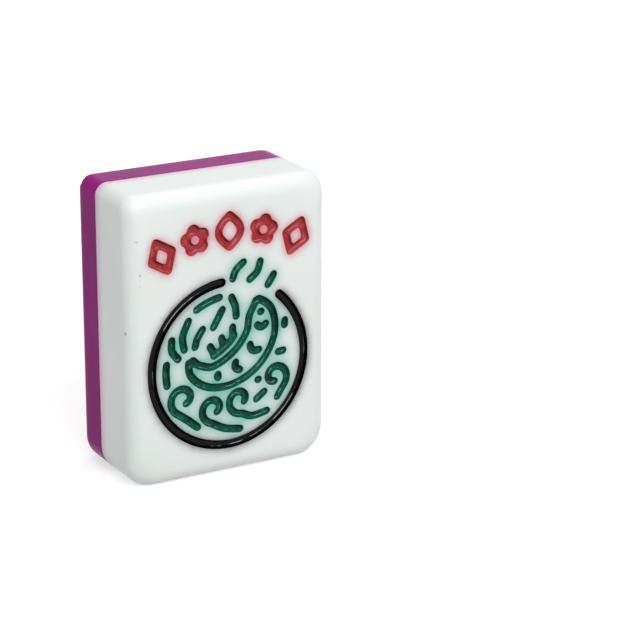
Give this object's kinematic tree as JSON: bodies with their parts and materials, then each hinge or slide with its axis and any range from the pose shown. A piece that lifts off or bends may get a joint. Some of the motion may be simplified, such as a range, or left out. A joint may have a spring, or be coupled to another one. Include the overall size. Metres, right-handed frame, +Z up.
{
  "type": "mahjong tile",
  "caption": "Two-colour mahjong tile: a white face layer, engraved and enamel-filled, cemented to a purple printed back layer.",
  "frame": {"origin": "middle of the foot, the short side on which the tile stands", "axes": "+Z up along the height, +X across the face to the right as the face is seen, -Y towards the engraved white face, +Y towards the printed purple back"},
  "size_m": [0.0222, 0.0117, 0.03],
  "materials": {
    "white_plastic": "polished",
    "purple_plastic": "polished",
    "cement": "clear",
    "black_enamel": "gloss",
    "red_enamel": "gloss",
    "green_enamel": "gloss",
    "white_ink": "satin",
    "black_ink": "satin",
    "red_ink": "satin",
    "grey_ink": "satin"
  },
  "bodies": {
    "root": {"face_block": "white_plastic", "bond_film": "cement", "back_block": "purple_plastic", "ring_enamel": "black_enamel", "left_diamond_enamel": "red_enamel", "left_blossom_enamel": "red_enamel", "middle_bud_enamel": "red_enamel", "right_blossom_enamel": "red_enamel", "right_diamond_enamel": "red_enamel", "carp_body_enamel": "green_enamel", "carp_eye_enamel": "green_enamel", "carp_gill_enamel": "green_enamel", "front_scale_enamel": "green_enamel", "middle_scale_enamel": "green_enamel", "rear_scale_enamel": "green_enamel", "lower_tail_ray_enamel": "green_enamel", "middle_tail_ray_enamel": "green_enamel", "upper_tail_ray_enamel": "green_enamel", "back_fin_enamel": "green_enamel", "breast_fin_enamel": "green_enamel", "belly_fin_enamel": "green_enamel", "left_wave_enamel": "green_enamel", "low_wave_enamel": "green_enamel", "middle_wave_enamel": "green_enamel", "right_wave_enamel": "green_enamel", "foam_drop_enamel": "green_enamel", "foam_dash_enamel": "green_enamel", "upper_mist_enamel": "green_enamel", "tail_mist_enamel": "green_enamel", "left_mist_enamel": "green_enamel", "head_mist_enamel": "green_enamel", "near_spray_enamel": "green_enamel", "middle_spray_enamel": "green_enamel", "far_spray_enamel": "green_enamel", "print_underbase": "white_ink", "print_black": "black_ink", "print_red": "red_ink", "print_grey": "grey_ink"}
  },
  "joints": []
}
